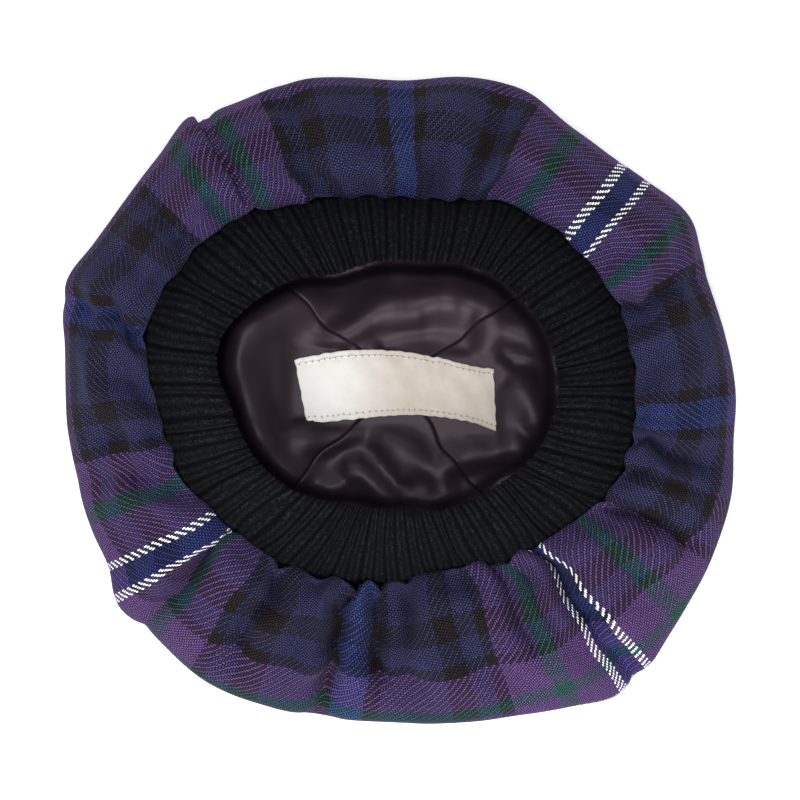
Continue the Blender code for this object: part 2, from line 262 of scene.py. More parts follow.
def along_rows(table, count):
    """The columns of a section table, each a smooth curve through the rows at count places, which
    are evenly spaced in the row number."""
    rows = np.array(table, float)
    at = np.linspace(0, len(rows) - 1, count)
    return [smooth_curve(np.arange(len(rows)), column, at) for column in rows.T]


def smooth_step(value):
    """0 below 0, 1 above 1, and a smooth rise between."""
    value = np.clip(value, 0.0, 1.0)
    return value * value * (3.0 - 2.0 * value)


def fold_shape(away, half_width, crease):
    """Depth of a fold across its line, 1 at the line: a bell for a soft fold, and for a sharp one a
    V with a small round foot."""
    across = away / half_width
    foot = 0.2
    soft = np.exp(-across ** 2)
    sharp = np.exp(-1.3 * (np.sqrt(across ** 2 + foot ** 2) - foot))
    return soft + (sharp - soft) * crease


def ripple(angles, low, high, seed):
    """A wave round the hat, closed on itself: the sum of every whole number of waves from low to
    high, each with its own phase, scaled to about 1."""
    luck = np.random.default_rng(seed)
    waves = np.arange(low, high + 1)
    phases = luck.uniform(0, 2 * math.pi, len(waves))
    sizes = luck.uniform(0.4, 1.0, len(waves))
    total = sum(size * np.cos(np.radians(angles) * wave + phase)
                for wave, phase, size in zip(waves, phases, sizes))
    return total / math.sqrt(0.5 * float((sizes ** 2).sum()))


def polar_points(radius, height, angles):
    """Points from radius, height and angle arrays of one shape."""
    turn = np.radians(angles)
    return np.stack([radius * np.cos(turn), radius * np.sin(turn), height + 0 * turn], axis=-1)


def ring_normals(points):
    """Unit normals of a grid that closes on itself along its columns, up where stations run out."""
    along = np.roll(points, -1, axis=0) - np.roll(points, 1, axis=0)
    across = np.gradient(points, axis=1)
    normals = np.cross(across, along)
    length = np.linalg.norm(normals, axis=-1, keepdims=True)
    return normals / np.maximum(length, 1e-12)


def round_wall(front, back):
    """One grid whose stations run out along the front face and home along the back one."""
    return np.concatenate([front, back[:, ::-1]], axis=1)


def wall_mesh(name, loop, uv, closed, material):
    """A mesh of quads over a grid of columns by stations, where a column's stations go right round
    the wall's section. Closed joins the last column to the first. The UV grid, in millimetres of
    cloth, has one column more than the points of a closed wall, because the cloth ends there. Points
    that coincide, as at a pole, are merged."""
    columns, stations = loop.shape[:2]
    index = np.arange(columns * stations).reshape(columns, stations)
    last = columns if closed else columns - 1
    after = np.roll(index, -1, axis=0)
    quads = np.stack([index, np.roll(index, -1, axis=1), np.roll(after, -1, axis=1), after], axis=-1)
    quads = quads[:last].reshape(-1, 4)
    up = np.roll(uv, -1, axis=1)
    corners = np.stack([uv[:last], up[:last], up[1:last + 1], uv[1:last + 1]], axis=2).reshape(-1, 2)
    if not closed:
        half = stations // 2
        front = np.arange(half - 1)
        back = stations - 1 - front
        for end in (0, -1):
            cap = np.stack([front, back, back - 1, front + 1], axis=-1)[:, ::(-1 if end else 1)]
            quads = np.concatenate([quads, index[end][cap]])
            corners = np.concatenate([corners, uv[end][cap].reshape(-1, 2)])
    mesh = bpy.data.meshes.new(name)
    mesh.vertices.add(columns * stations)
    mesh.vertices.foreach_set("co", loop.reshape(-1).astype(np.float32))
    mesh.loops.add(quads.size)
    mesh.loops.foreach_set("vertex_index", quads.reshape(-1).astype(np.int32))
    mesh.polygons.add(len(quads))
    mesh.polygons.foreach_set("loop_start", np.arange(0, quads.size, 4, dtype=np.int32))
    mesh.update(calc_edges=True)
    layer = mesh.uv_layers.new(name="cloth_mm")
    layer.data.foreach_set("uv", corners.reshape(-1).astype(np.float32))
    merged = bmesh.new()
    merged.from_mesh(mesh)
    bmesh.ops.remove_doubles(merged, verts=merged.verts, dist=1e-7)
    bare_edges = [edge for edge in merged.edges if not edge.link_faces]
    bmesh.ops.delete(merged, geom=bare_edges, context="EDGES")
    merged.to_mesh(mesh)
    merged.free()
    mesh.shade_smooth()
    mesh.materials.append(material)
    piece = bpy.data.objects.new(name, mesh)
    bpy.context.collection.objects.link(piece)
    return piece


# Half of the tartan's sett, which then runs back the same way. Columns: width in millimetres, yarn
SETT = (
    (6.0, "#23305f"), (5.4, "#191415"), (27.5, "#24253f"), (9.5, "#191415"), (8.3, "#24253f"),
    (4.8, "#191415"), (16.2, "#47325a"), (7.9, "#1d3f3a"), (16.4, "#47325a"), (3.12, "#d2d1da"),
    (4.68, "#1a2558"),
)
HALF_SETT = sum(width for width, _ in SETT)
WEFT_START = 19.5


def math_nodes(tree):
    """A function that adds a math node to this tree and gives back its output."""
    def math_node(operation, first, second=0.0):
        return add_node(tree, "ShaderNodeMath", {0: first, 1: second}, operation=operation).outputs[0]
    return math_node


def round_over(math_node, share):
    """A round hump over a share: 0 at both of its ends and 1 in its middle."""
    return math_node("MULTIPLY", math_node("MULTIPLY", share, 4.0), math_node("SUBTRACT", 1.0, share))


def cloth_place(tree):
    """The place on the cloth from its UV, then that place's part along and its part across."""
    uv = add_node(tree, "ShaderNodeUVMap", uv_map="cloth_mm").outputs[0]
    split = add_node(tree, "ShaderNodeSeparateXYZ", {0: uv})
    return uv, split.outputs["X"], split.outputs["Y"]


def noise_at(tree, place, scale, detail, roughness, distortion=0.0):
    """A noise texture at a place, with its fineness, and its factor as the output."""
    return add_node(tree, "ShaderNodeTexNoise", {
        "Vector": place, "Scale": scale, "Detail": detail, "Roughness": roughness,
        "Distortion": distortion}).outputs["Fac"]


def mix_colours(tree, share, first, second):
    """The colour that lies a share of the way from the first to the second."""
    return add_node(tree, "ShaderNodeMix", {
        "Factor": share, "A": first, "B": second}, data_type="RGBA").outputs[2]


def bumped(tree, height, strength, distance):
    """The surface's normal, tilted by a height."""
    return add_node(tree, "ShaderNodeBump", {
        "Height": height, "Strength": strength, "Distance": distance}).outputs[0]


def sett_colour(tree, math_node, position):
    """The sett's yarn at a position in millimetres, by a colour ramp in steps."""
    ramp = add_node(tree, "ShaderNodeValToRGB", {
        "Fac": math_node("DIVIDE", math_node("PINGPONG", position, HALF_SETT), HALF_SETT)})
    ramp.color_ramp.interpolation = "CONSTANT"
    stops = ramp.color_ramp.elements
    start = 0.0
    for number, (width, yarn) in enumerate(SETT):
        stop = stops[number] if number < 2 else stops.new(start / HALF_SETT)
        stop.position = start / HALF_SETT
        stop.color = linear(yarn)
        start += width
    return ramp.outputs["Color"]


def worsted_tartan():
    """Worsted wool in a 2/2 twill: each yarn floats over two and under two, one step further on each
    pick, so fine diagonal lines cross every stripe. The wool is matt with a soft bloom of fibre."""
    material, tree, shader = new_material("worsted_tartan")
    math_node = math_nodes(tree)
    uv, along, across = cloth_place(tree)
    stray_noise = add_node(tree, "ShaderNodeTexNoise", {
        "Vector": uv, "Scale": 0.45, "Detail": 3.0, "Roughness": 0.65})
    stray = add_node(tree, "ShaderNodeSeparateXYZ", {0: stray_noise.outputs["Color"]})
    warp_at = math_node("DIVIDE", math_node("ADD", along, stray.outputs["X"]), THREAD)
    weft_at = math_node("DIVIDE", math_node("ADD", across, stray.outputs["Y"]), THREAD)
    warp = math_node("FLOOR", warp_at)
    weft = math_node("FLOOR", weft_at)
    warp_middle = math_node("MULTIPLY", math_node("ADD", warp, 0.5), THREAD)
    weft_middle = math_node("MULTIPLY", math_node("ADD", weft, 0.5), THREAD)
    warp_colour = sett_colour(tree, math_node, warp_middle)
    weft_colour = sett_colour(tree, math_node, math_node("ADD", weft_middle, WEFT_START))
    step = math_node("FLOORED_MODULO", math_node("ADD", warp, weft), 4.0)
    warp_up = math_node("LESS_THAN", step, 2.0)
    twill = mix_colours(tree, warp_up, weft_colour, warp_colour)
    blend = mix_colours(tree, 0.5, weft_colour, warp_colour)
    pale = math_node("MULTIPLY", add_node(tree, "ShaderNodeRGBToBW", {"Color": blend}).outputs[0], 3.0)
    softness = math_node("MAXIMUM", math_node("SUBTRACT", SOFTNESS, pale), 0.0)
    colour = mix_colours(tree, softness, twill, blend)

    # A float is a round thread, highest in its middle, and runs over two threads of the other way
    warp_float = math_node("DIVIDE", math_node("FLOORED_MODULO", math_node("ADD", weft_at, warp), 4.0), 2.0)
    weft_run = math_node("DIVIDE", math_node("FLOORED_MODULO", math_node("ADD", warp_at, weft), 4.0), 2.0)
    weft_float = math_node("SUBTRACT", weft_run, 1.0)
    warp_height = math_node("MULTIPLY", round_over(math_node, math_node("FRACT", warp_at)),
                            round_over(math_node, warp_float))
    weft_height = math_node("MULTIPLY", round_over(math_node, math_node("FRACT", weft_at)),
                            round_over(math_node, weft_float))
    either = add_node(tree, "ShaderNodeMix", {"Factor": warp_up, "A": weft_height, "B": warp_height})
    height = math_node("MAXIMUM", either.outputs[0], 0.0)

    # Painted light on the thread tops and painted shade between them, uneven fibre, faint patches and a pale
    # nap
    fibre = noise_at(tree, uv, 1.3, 4.0, 0.75)
    painted_thread_light = math_node("ADD", math_node("MULTIPLY", math_node("POWER", height, 1.6), 2.8), 0.06)
    fleck = math_node("ADD", math_node("MULTIPLY", fibre, 2.8), -0.4)
    patch = math_node("ADD", math_node("MULTIPLY", noise_at(tree, uv, 0.05, 2.0, 0.5), 0.3), 0.85)
    brightness = math_node("MULTIPLY", math_node("MULTIPLY", painted_thread_light, fleck), patch)
    toned = add_node(tree, "ShaderNodeVectorMath", {0: colour, "Scale": brightness}, operation="SCALE")
    nap = add_node(tree, "ShaderNodeMapRange", {
        "Value": noise_at(tree, uv, 1.6, 4.0, 0.8), "From Min": 0.54, "From Max": 0.80, "To Max": 0.45})
    raised = math_node("ADD", height, math_node("MULTIPLY", fibre, 0.35))
    fill_inputs(tree, shader, {
        "Base Color": mix_colours(tree, nap.outputs[0], toned.outputs[0], linear("#55536a")),
        "Normal": bumped(tree, raised, 0.6, 0.00035),
        "Roughness": 0.92, "Specular IOR Level": 0.08,
        "Sheen Weight": 0.04, "Sheen Roughness": 0.5, "Sheen Tint": linear("#b9b4cf")})
    return material


def smoothed_stripes(positions, column):
    """Angle of each cloth position from the table of stripes, with the table's corners eased by a
    short running mean of what it departs from an even spread."""
    rows = np.array(STRIPES)
    exact = np.interp(positions, rows[:, 0], rows[:, column])
    even = np.linspace(exact[0], exact[0] + 360.0, len(exact) + 1)[:-1]
    extra = exact - even
    width = round(len(exact) / STRIPE_EASE)
    wrapped = np.concatenate([extra[-width:], extra, extra[:width]])
    return even + np.convolve(wrapped, np.ones(2 * width + 1) / (2 * width + 1), mode="valid")


def thread_pairs(columns, stations, closed, rest_along, rest_across, bend):
    """Pairs of grid points that a cloth keeps apart by a rest length, in groups where no point comes
    twice: neighbours along and across, both diagonals, and every second neighbour for the bending.
    Each group has first points, second points, rest lengths and stiffness."""
    index = np.arange(columns * stations).reshape(columns, stations)
    reach = columns if closed else columns - 1
    after = np.roll(index, -1, axis=0)
    number = np.arange(columns)
    groups = []
    for odd in (0, 1):
        rows = number[:reach][number[:reach] % 2 == odd]
        groups.append((index[rows], after[rows], rest_along[rows], 1.0))
        groups.append((index[:, odd:-1:2], index[:, odd + 1::2], rest_across[:, odd::2], 1.0))
        slope = np.hypot(0.5 * (rest_along[rows, :-1] + rest_along[rows, 1:]), rest_across[rows])
        groups.append((index[rows, :-1], after[rows, 1:], slope, DIAGONAL_STIFFNESS))
        groups.append((index[rows, 1:], after[rows, :-1], slope, DIAGONAL_STIFFNESS))
    for pair in (0, 1):
        reach = columns if closed else columns - 2
        rows = number[:reach][number[:reach] // 2 % 2 == pair]
        wide = rest_along[rows] + rest_along[(rows + 1) % len(rest_along)]
        groups.append((index[rows], np.roll(index, -2, axis=0)[rows], wide, bend))
        places = np.arange(stations - 2)
        places = places[places // 2 % 2 == pair]
        tall = rest_across[:, places] + rest_across[:, places + 1]
        groups.append((index[:, places], index[:, places + 2], tall, bend))
    return [(first.ravel(), second.ravel(), rest.ravel(), stiff) for first, second, rest, stiff in groups]


def settle(points, groups, loose, goal, hold, push, keep_out, rounds):
    """Lets a cloth settle. In each round every point keeps most of its motion, is pushed, is drawn a
    little to its goal, and then each pair moves back to its rest length. Points with loose 0 stay."""
    shape = points.shape
    now = points.reshape(-1, 3).copy()
    before = now.copy()
    free = loose.reshape(-1)
    target = goal.reshape(-1, 3)
    pull = hold.reshape(-1, 1)
    weights = [np.maximum(free[first] + free[second], 1e-9) for first, second, _, _ in groups]
    for _ in range(rounds):
        moved = (now - before) * KEPT_MOTION + push(now.reshape(shape)).reshape(-1, 3)
        before = now.copy()
        now = now + moved * free[:, None]
        now += (target - now) * pull * free[:, None]
        for (first, second, rest, stiff), weight in zip(groups, weights):
            gap = now[second] - now[first]
            length = np.sqrt(np.einsum("ij,ij->i", gap, gap))
            shift = gap * (stiff * (length - rest) / (np.maximum(length, 1e-9) * weight))[:, None]
            now[first] += shift * free[first, None]
            now[second] -= shift * free[second, None]
        now = keep_out(now.reshape(shape)).reshape(-1, 3)
    return now.reshape(shape)


def cubic_weights(count, fine, closed):
    """Matrix that takes count evenly spaced values to fine ones, by a cubic through the four nearest."""
    at = np.arange(fine) * count / fine if closed else np.linspace(0, count - 1, fine)
    left = np.minimum(at.astype(int), count - 1 if closed else count - 2)
    t = at - left
    terms = (-0.5 * t ** 3 + t ** 2 - 0.5 * t, 1.5 * t ** 3 - 2.5 * t ** 2 + 1,
             -1.5 * t ** 3 + 2 * t ** 2 + 0.5 * t, 0.5 * t ** 3 - 0.5 * t ** 2)
    weights = np.zeros((fine, count))
    for offset, term in zip((-1, 0, 1, 2), terms):
        place = np.mod(left + offset, count) if closed else np.clip(left + offset, 0, count - 1)
        np.add.at(weights, (np.arange(fine), place), term)
    return weights


def band_radii(angles):
    """Radius of the band's seam and of its free edge."""
    return (BAND_SEAM_RADIUS * around(BAND_OUTLINE, 1, angles),
            MOUTH_RADIUS * around(BAND_OUTLINE, 2, angles))


def band_clearance(points):
    """Moves points that lie inside the band's ribs back on to them."""
    turn = np.arctan2(points[..., 1], points[..., 0])
    seam, mouth = band_radii(np.degrees(turn))
    lean_r = seam - mouth
    lean_z = MOUTH_HEIGHT - BAND_SEAM_HEIGHT
    slant = np.hypot(lean_r, lean_z)
    from_seam = np.hypot(points[..., 0], points[..., 1]) - seam
    above_seam = points[..., 2] - BAND_SEAM_HEIGHT
    along = (above_seam * lean_z - from_seam * lean_r) / slant ** 2
    off = (from_seam * lean_z + above_seam * lean_r) / slant
    wanted = BAND_LIFT * smooth_step((along + 0.05) / 0.35)
    short = np.where(along > 0.0, np.maximum(wanted - off, 0.0), 0.0) / slant
    outward = np.stack([lean_z * np.cos(turn), lean_z * np.sin(turn), lean_r], axis=-1)
    return points + short[..., None] * outward


def crown_seam(angles):
    """Radius of the seam between strip and crown: a circle whose middle the hat's slump has moved."""
    turn = np.radians(angles)
    return CROWN_RADIUS + CROWN_SLUMP[0] * np.cos(turn) + CROWN_SLUMP[1] * np.sin(turn)


def folded_puff(columns, stations):
    """The strip's face before it settles, and the same without folds: a smooth section over the puff
    from the band's seam to the crown's, pushed in along its normals at the folds. Also the angle at
    the rim of each column, the reach of each station and the cloth's place of each column."""
    rows = np.array(STRIPES)
    cloth = np.linspace(rows[0, 0], rows[-1, 0], columns + 1)
    at_band = smoothed_stripes(cloth[:-1], 1)[:, None]
    at_rim = smoothed_stripes(cloth[:-1], 2)[:, None]
    section = along_rows(STRIP_SECTION, SECTION_POINTS)
    flat_r = np.interp(section[0], (0.0, 1.0, 2.0), (BAND_SEAM_RADIUS, RIM_RADIUS, CROWN_RADIUS))
    tall = np.where(section[1] > 0.0, PUFF_HEIGHT - RIM_HEIGHT, RIM_HEIGHT - CROWN_SEAM_HEIGHT)
    path = np.concatenate([[0.0], np.cumsum(np.hypot(np.diff(flat_r), np.diff(tall * section[1])))])
    even = np.linspace(0.0, path[-1], stations)
    reach, rise, share = (np.interp(even, path, column) for column in section)
    angles = at_band + (at_rim - at_band) * np.clip(reach, 0.0, 1.0)[None, :]
    rim = RIM_RADIUS * around(RIM_OUTLINE, 1, angles)
    seam = BAND_SEAM_RADIUS * around(BAND_OUTLINE, 1, angles) + SEAM_GAP
    crown = crown_seam(angles)
    radius = np.where(reach < 1.0, seam + (rim - seam) * reach, rim + (crown - rim) * (reach - 1.0))
    height = np.where(rise > 0.0, RIM_HEIGHT + (PUFF_HEIGHT - RIM_HEIGHT) * rise,
                      RIM_HEIGHT + (RIM_HEIGHT - CROWN_SEAM_HEIGHT) * rise)
    smooth = polar_points(radius, height[None, :], angles)
    depth = np.zeros_like(radius)
    for fold_band, fold_rim, fold_depth, half_width, length, crease in STRIP_FOLDS:
        centre = fold_band + (fold_rim - fold_band) * np.clip(reach, 0.0, 1.0)
        away = np.mod(angles - centre[None, :] + 180.0, 360.0) - 180.0
        fade = smooth_step((length + 0.35 - reach) / 0.35)
        narrow = half_width * (0.6 + 0.4 * np.clip(reach, 0.0, 1.0))
        depth += fold_depth * fold_shape(away, narrow[None, :], crease) * (fade * share)[None, :]
    soft = ripple(angles, 9, 26, 5) * np.cos(reach[None, :] * 4.0 + ripple(angles, 3, 6, 6))
    near_band = np.exp(-np.clip(reach, 0.0, 2.0) / 0.3)[None, :]
    depth += (0.015 * soft + 0.05 * ripple(at_band, 16, 40, 3) * near_band) * share[None, :]
    start = smooth - ring_normals(smooth) * depth[..., None] * (PUFF_HEIGHT - RIM_HEIGHT)
    return start, smooth, at_rim, reach, cloth


def strip_face():
    """Outer face of the strip, and its UV. From the folded puff the cloth settles on a coarse grid:
    it is longer than the band's seam and the rim, so it buckles into gathers at the band. How far it
    moved, smoothed and carried up by a cubic, is added to the puff on the fine grid, whose creases
    stay sharp. Then comes the join, where one end of the strip laps over the other. The UV takes
    as much cloth to the rim as the table says, and the rest of the strip's width under it."""
    start, smooth, _, reach, _ = folded_puff(SETTLE_COLUMNS, SETTLE_STATIONS)
    along = np.linalg.norm(np.roll(smooth, -1, axis=0) - smooth, axis=-1)
    across = np.linalg.norm(np.diff(smooth, axis=1), axis=-1) * ACROSS_EASE
    groups = thread_pairs(SETTLE_COLUMNS, SETTLE_STATIONS, True,
                          along.max(axis=1, keepdims=True) + 0 * along, across, BENDING)
    loose = np.ones_like(along)
    loose[:, 0] = 0.0
    loose[:, -1] = 0.0
    at_rim = np.exp(-((reach - 1.0) / 0.14) ** 2)
    hold = HOLD_LOOSE + HOLD_AT_RIM * at_rim + HOLD_UNDER_RIM * smooth_step(reach - 1.1)
    settled = settle(start, groups, loose, start, hold[None, :] + 0 * along,
                     lambda points: ring_normals(points) * PADDING_PUSH,
                     band_clearance, SETTLE_ROUNDS)
    moved = settled - start
    for _ in range(SMOOTHING_PASSES):
        moved = 0.5 * moved + 0.25 * (np.roll(moved, 1, axis=0) + np.roll(moved, -1, axis=0))
    moved[:, 1:-1] = 0.5 * moved[:, 1:-1] + 0.25 * (moved[:, 2:] + moved[:, :-2])
    start, _, at_rim, reach, cloth = folded_puff(STRIP_COLUMNS, STRIP_STATIONS)
    round_hat = cubic_weights(SETTLE_COLUMNS, STRIP_COLUMNS, True)
    out_from_band = cubic_weights(SETTLE_STATIONS, STRIP_STATIONS, False)
    points = start + np.einsum("ai,bj,ijk->abk", round_hat, out_from_band, moved, optimize=True)
    length = cloth[-1] - cloth[0]
    from_join = (np.mod(cloth[:-1] - cloth[0] + 0.5 * length, length) - 0.5 * length)[:, None]
    lap = np.where(from_join > 0.0, np.exp(-(from_join / JOIN_LAP_WIDTH) ** 2), 0.0)
    sunk = JOIN_DEPTH * np.exp(-np.abs(from_join + 0.5) / JOIN_WIDTH) - JOIN_LAP * lap
    open_part = smooth_step((reach - 0.02) / 0.12) * (1.0 - smooth_step((reach - 1.2) / 0.5))
    points = points - ring_normals(points) * (sunk * open_part[None, :])[..., None]
    step = np.linalg.norm(np.diff(start, axis=1), axis=-1)
    run = np.concatenate([np.zeros((STRIP_COLUMNS, 1)), np.cumsum(step, axis=1)], axis=1).mean(axis=0)
    rim_station = np.argmax(reach >= 1.0)
    to_rim = around(RIM_CLOTH, 1, at_rim)
    upper = to_rim * run[None, :] / run[rim_station]
    under = (run - run[rim_station]) / (run[-1] - run[rim_station])
    lower = to_rim + (STRIP_WIDTH - to_rim.mean()) * under
    fine_across = np.where(np.arange(STRIP_STATIONS) < rim_station, upper, lower)
    fine_across = np.concatenate([fine_across, fine_across[:1]], axis=0)
    return points, np.stack([cloth[:, None] + 0 * fine_across, fine_across], axis=-1)


strip_outer, strip_uv = strip_face()
strip_inner = strip_outer - ring_normals(strip_outer) * STRIP_WALL
behind = np.arange(STRIP_STATIONS - 1, -1, -3)
side_strip = wall_mesh(
    "tartan_strip", np.concatenate([strip_outer, strip_inner[:, behind]], axis=1),
    np.concatenate([strip_uv, strip_uv[:, behind]], axis=1), True, worsted_tartan())
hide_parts("side_strip")
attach(side_strip, "root")


# Crown
# The round top of the hat, of the same tartan cut flat. The hat lies on it, and its edge bends up to
# the seam with the strip.

CROWN_WALL = 0.0016
CROWN_SECTION = (
    (0.00, 0.00), (0.30, 0.00), (0.60, 0.00), (0.80, 0.00), (0.90, 0.05), (0.96, 0.35), (1.00, 1.00),
)
CROWN_COLUMNS = 240
CROWN_STATIONS = 40


def crown_faces():
    """Upper and lower face of the crown: rays from its middle, level out to the bend, whose edge
    rises to the crown seam. The cloth's UV is its plan in millimetres."""
    angles = np.arange(CROWN_COLUMNS)[:, None] * 360.0 / CROWN_COLUMNS
    edge = crown_seam(angles) - SEAM_GAP
    share, rise = along_rows(CROWN_SECTION, CROWN_STATIONS)
    lower = polar_points(edge * share[None, :], (CROWN_SEAM_HEIGHT * np.clip(rise, 0, 1))[None, :], angles)
    upper = lower + np.array([0.0, 0.0, CROWN_WALL])
    loop = round_wall(upper, lower)
    uv = loop[..., :2] * 1000.0
    return loop, np.concatenate([uv, uv[:1]], axis=0)


crown_loop, crown_uv = crown_faces()
crown = wall_mesh("crown_cloth", crown_loop, crown_uv, True, side_strip.data.materials[0])
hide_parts("crown_disc")
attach(crown, "root")


# Rib-knit band
# A doubled band of black wool in a 2 by 2 rib, turned over at its free edge. It stands up from the
# seam and leans in, and each rib is a pair of loop columns with a dark groove on either side.

BAND_TUCK = 0.004
BAND_THICKNESS = 0.0045
RIB_COUNT = 84
RIB_RELIEF = 0.0010
RIB_POINTS = 16
BAND_STATIONS = 52
RIB_SWAY = 1.6
RIB_WOBBLE = 0.5
RIB_STRAY = 0.25
GROOVE_WIDTH = 0.16
SPLIT_WIDTH = 0.10
MOUTH_TILT = 0.0016
STITCH = 1.7
FUZZ_GAIN = 261.0

# Section of the band. Columns: share of the way from the seam up to the free edge, place across the
# band in thicknesses outwards from its outer face, share of the ribs' relief
BAND_SECTION = (
    (-0.11, 0.00, 0.00), (0.00, 0.02, 0.55), (0.12, 0.14, 1.00), (0.30, 0.42, 1.00), (0.52, 0.55, 1.00),
    (0.74, 0.42, 1.00), (0.90, 0.12, 1.00), (0.99, -0.18, 0.90), (1.02, -0.52, 0.70),
    (0.97, -0.86, 0.60), (0.84, -1.00, 0.60), (0.45, -1.00, 0.50), (0.00, -1.00, 0.20),
)


def band_surface():
    """The band's closed section carried round: it starts at the tucked foot, swells as it rises,
    turns over at the free edge and comes down behind. A rib is a round ridge between two narrow
    grooves, with a faint split along its crest, and the ribs sway a little on their way up. The
    normals of this grid point into the knit."""
    columns = RIB_COUNT * RIB_POINTS
    number = np.arange(columns)[:, None]
    along, across, share = along_rows(BAND_SECTION, BAND_STATIONS)
    rise = np.clip(along, 0.0, 1.0)[None, :]
    even = number * 360.0 / columns
    sway = RIB_SWAY * ripple(even, 3, 9, 11) * rise
    wobble = RIB_WOBBLE * ripple(even, 12, 30, 12) * np.sin(3.0 * rise)
    angles = even + (sway + wobble) + RIB_STRAY * ripple(even, 20, 45, 15)
    seam, mouth = band_radii(angles)
    lean_r = seam - mouth - BAND_THICKNESS
    lean_z = MOUTH_HEIGHT - BAND_SEAM_HEIGHT
    slant = np.hypot(lean_r, lean_z)
    out_r = lean_z / slant
    out_z = lean_r / slant
    top_r = mouth + BAND_THICKNESS * out_r
    radius = seam + (top_r - seam) * along[None, :] + BAND_THICKNESS * out_r * across[None, :]
    height = BAND_SEAM_HEIGHT + lean_z * along[None, :] + BAND_THICKNESS * out_z * across[None, :]
    below = np.clip(-along, 0.0, 1.0)[None, :] / -BAND_SECTION[0][0]
    foot = BAND_SEAM_HEIGHT - BAND_TUCK
    radius = radius + (np.where(across > -0.5, seam, seam - BAND_THICKNESS) - radius) * below
    height = height + (foot - height) * below
    tilt = MOUTH_TILT * ripple(even, 2, 7, 13) * smooth_step((along - 0.6) / 0.4)[None, :]
    points = polar_points(radius, height + tilt, angles)
    place = number / RIB_POINTS
    off = np.abs(np.mod(place, 1.0) - 0.5)
    groove = np.exp(-((0.5 - off) / GROOVE_WIDTH) ** 2) * (1.0 + 0.25 * ripple(even, 9, 40, 16))
    split = np.exp(-(off / SPLIT_WIDTH) ** 2) * (0.35 + 0.2 * ripple(even, 9, 40, 17))
    uneven = 1.0 + 0.18 * ripple(even, 24, 60, 14)
    height_out = (1.0 - groove - split - 0.6) * uneven * share[None, :] * RIB_RELIEF
    points = points - ring_normals(points) * height_out[..., None]
    step = np.linalg.norm(np.diff(points.mean(axis=0), axis=0), axis=-1)
    run = np.concatenate([[0.0], np.cumsum(step)]) * 1000.0
    place = np.concatenate([place, [[RIB_COUNT]]], axis=0)
    return points, np.stack([place + 0 * run[None, :], run[None, :] + 0 * place], axis=-1)


def rib_knit_wool():
    """Woollen rib knit: matt black yarn, nearly no shine, with a pale bloom of fibre painted only along the
    crest of each rib and the middles of V-shaped loops one above the other, as painted light, while the
    grooves and loop edges keep painted shade. Its UV is in ribs round the band, and in millimetres up it."""
    material, tree, shader = new_material("rib_knit_wool")
    math_node = math_nodes(tree)
    _, place, up = cloth_place(tree)
    from_ridge = math_node("ABSOLUTE", math_node("SUBTRACT", math_node("FRACT", place), 0.5))
    column = math_node("FRACT", math_node("MULTIPLY", place, 2.0))
    across = math_node("MULTIPLY", math_node("ABSOLUTE", math_node("SUBTRACT", column, 0.5)), 1.6)
    groove = math_node("MINIMUM", math_node("MULTIPLY", math_node("SUBTRACT", 0.5, from_ridge), 5.0), 1.0)
    loop_share = math_node("FRACT", math_node("ADD", math_node("DIVIDE", up, STITCH), across))
    loop_round = round_over(math_node, loop_share)
    crest = math_node("MULTIPLY", groove, math_node("SUBTRACT", 1.0, across))

    # Strands run up the ribs, and shorter fibres stand off them
    strand_place = add_node(tree, "ShaderNodeCombineXYZ", {
        "X": math_node("MULTIPLY", place, 9.0), "Y": math_node("MULTIPLY", up, 0.35)})
    strand = noise_at(tree, strand_place.outputs[0], 1.0, 3.0, 0.7, 1.2)
    fibre_place = add_node(tree, "ShaderNodeCombineXYZ", {"X": math_node("MULTIPLY", place, 5.0), "Y": up})
    fibre = noise_at(tree, fibre_place.outputs[0], 1.1, 5.0, 0.8, 1.5)
    fuzz = math_node("MULTIPLY", math_node("POWER", fibre, 6.0), math_node("POWER", strand, 4.0))
    # Painted light and shade: the pale fibre is kept to rib crests and loop middles, so grooves and loop
    # edges stay dark
    body = math_node("MULTIPLY", crest, math_node("ADD", math_node("MULTIPLY", loop_round, 0.45), 0.55))
    pale = math_node("MULTIPLY", math_node("MULTIPLY", body, fuzz), FUZZ_GAIN)
    raised = math_node("ADD", math_node("MULTIPLY", loop_round, crest), fibre)
    fill_inputs(tree, shader, {
        "Base Color": mix_colours(tree, pale, linear("#030304"), linear("#292a2f")),
        "Normal": bumped(tree, raised, 0.7, 0.0006),
        "Roughness": 0.95, "Specular IOR Level": 0.05,
        "Sheen Weight": 0.02, "Sheen Roughness": 0.6, "Sheen Tint": linear("#9aa0ac")})
    return material


band_points, band_uv = band_surface()
rib_band = wall_mesh("rib_knit_band", band_points[:, ::-1], band_uv[:, ::-1], True, rib_knit_wool())
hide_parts("rib_band")
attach(rib_band, "root")


# Lining
# Four quarters of dark brown polyester satin, seamed together on the diagonals and sewn in under the
# band. It is longer than the crown is deep, so it lies in loose soft folds.

LINING_WALL = 0.0006
LINING_FLOOR_HEIGHT = 0.012
LINING_DEPTH = BAND_SEAM_HEIGHT - BAND_TUCK - SEAM_GAP - LINING_FLOOR_HEIGHT
LINING_TIP = (-0.001, 0.009)
LINING_PITCH = 0.75
LINING_STATIONS = 110
LINING_SPARE = 0.03
SEAM_PULL = 0.0009
SEAM_HALF_WIDTH = 0.45
TROUGH_DEPTH = 0.003
FAR_TROUGH_DEPTH = 0.003
LABEL_FREEING = 7.0
DRAPE_FREE_REACH = 84.0
DRAPE_EDGE = 10.0
DRAPE_REACH = 92.0
DRAPE_COUNT = 52
DRAPE_ROUNDS = 350
DRAPE_WEIGHT = 0.000003
DRAPE_ROOM = 0.0045
LABEL_CENTRE = (-1.5, 4.0)
LABEL_TURN = -4.0
LABEL_LENGTH = 84.0
LABEL_WIDTH = 27.0

